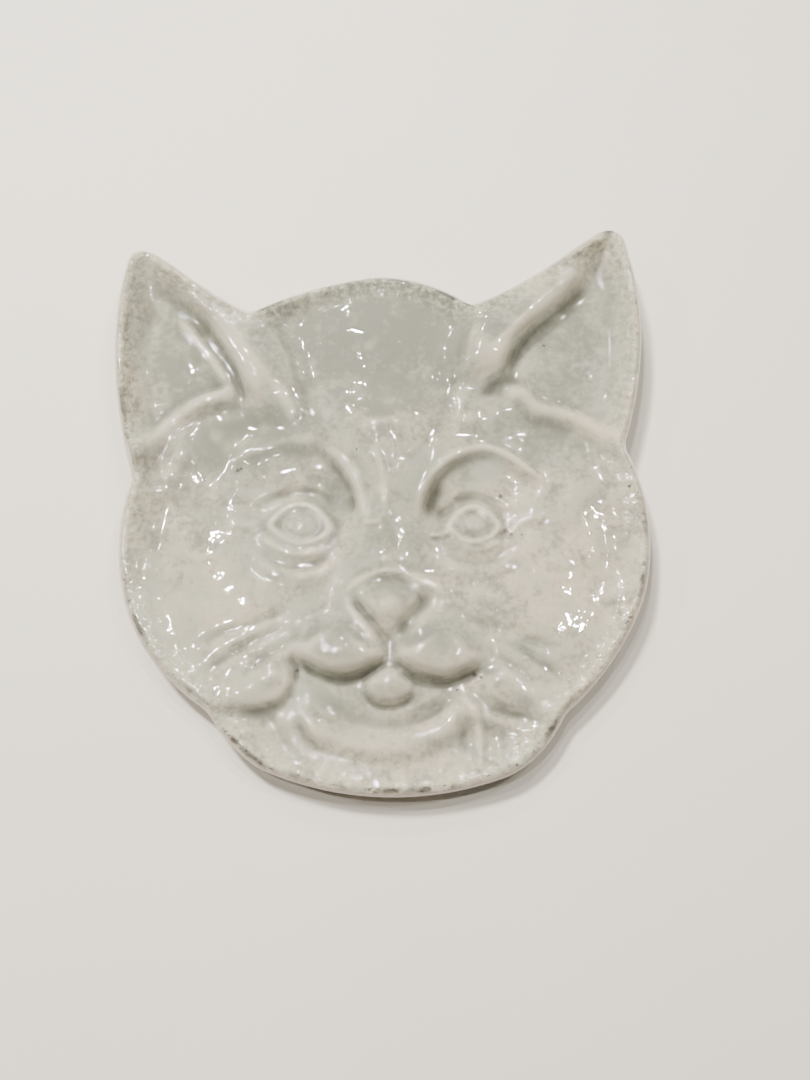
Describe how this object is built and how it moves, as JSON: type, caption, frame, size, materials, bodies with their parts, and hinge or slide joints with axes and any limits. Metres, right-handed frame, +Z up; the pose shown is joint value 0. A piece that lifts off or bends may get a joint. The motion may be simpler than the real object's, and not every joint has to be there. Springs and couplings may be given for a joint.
{
  "type": "cat face relief dish",
  "caption": "Shallow cat-face dish of dark fired clay: an upturned rim follows the ears, cheeks and chin round a sculpted face in relief, under a thick glossy milky glaze.",
  "frame": {"origin": "under the middle of the bounding box, on the plane that the foot stands on", "axes": "+Z up out of the bowl, +Y from the chin towards the ears, +X to the right of a viewer who looks at the face"},
  "size_m": [0.146, 0.1567, 0.016],
  "materials": {
    "fired_clay": "dark stoneware clay, matt and slightly gritty where it is bare",
    "milky_glaze": "thick, milky and very glossy; greenish grey where it pools, pinkish beige where it thins over ridges, dark specks along the rim"
  },
  "bodies": {
    "root": {"clay_body": "fired_clay", "face_glaze": "milky_glaze", "wall_glaze": "milky_glaze"}
  },
  "joints": []
}
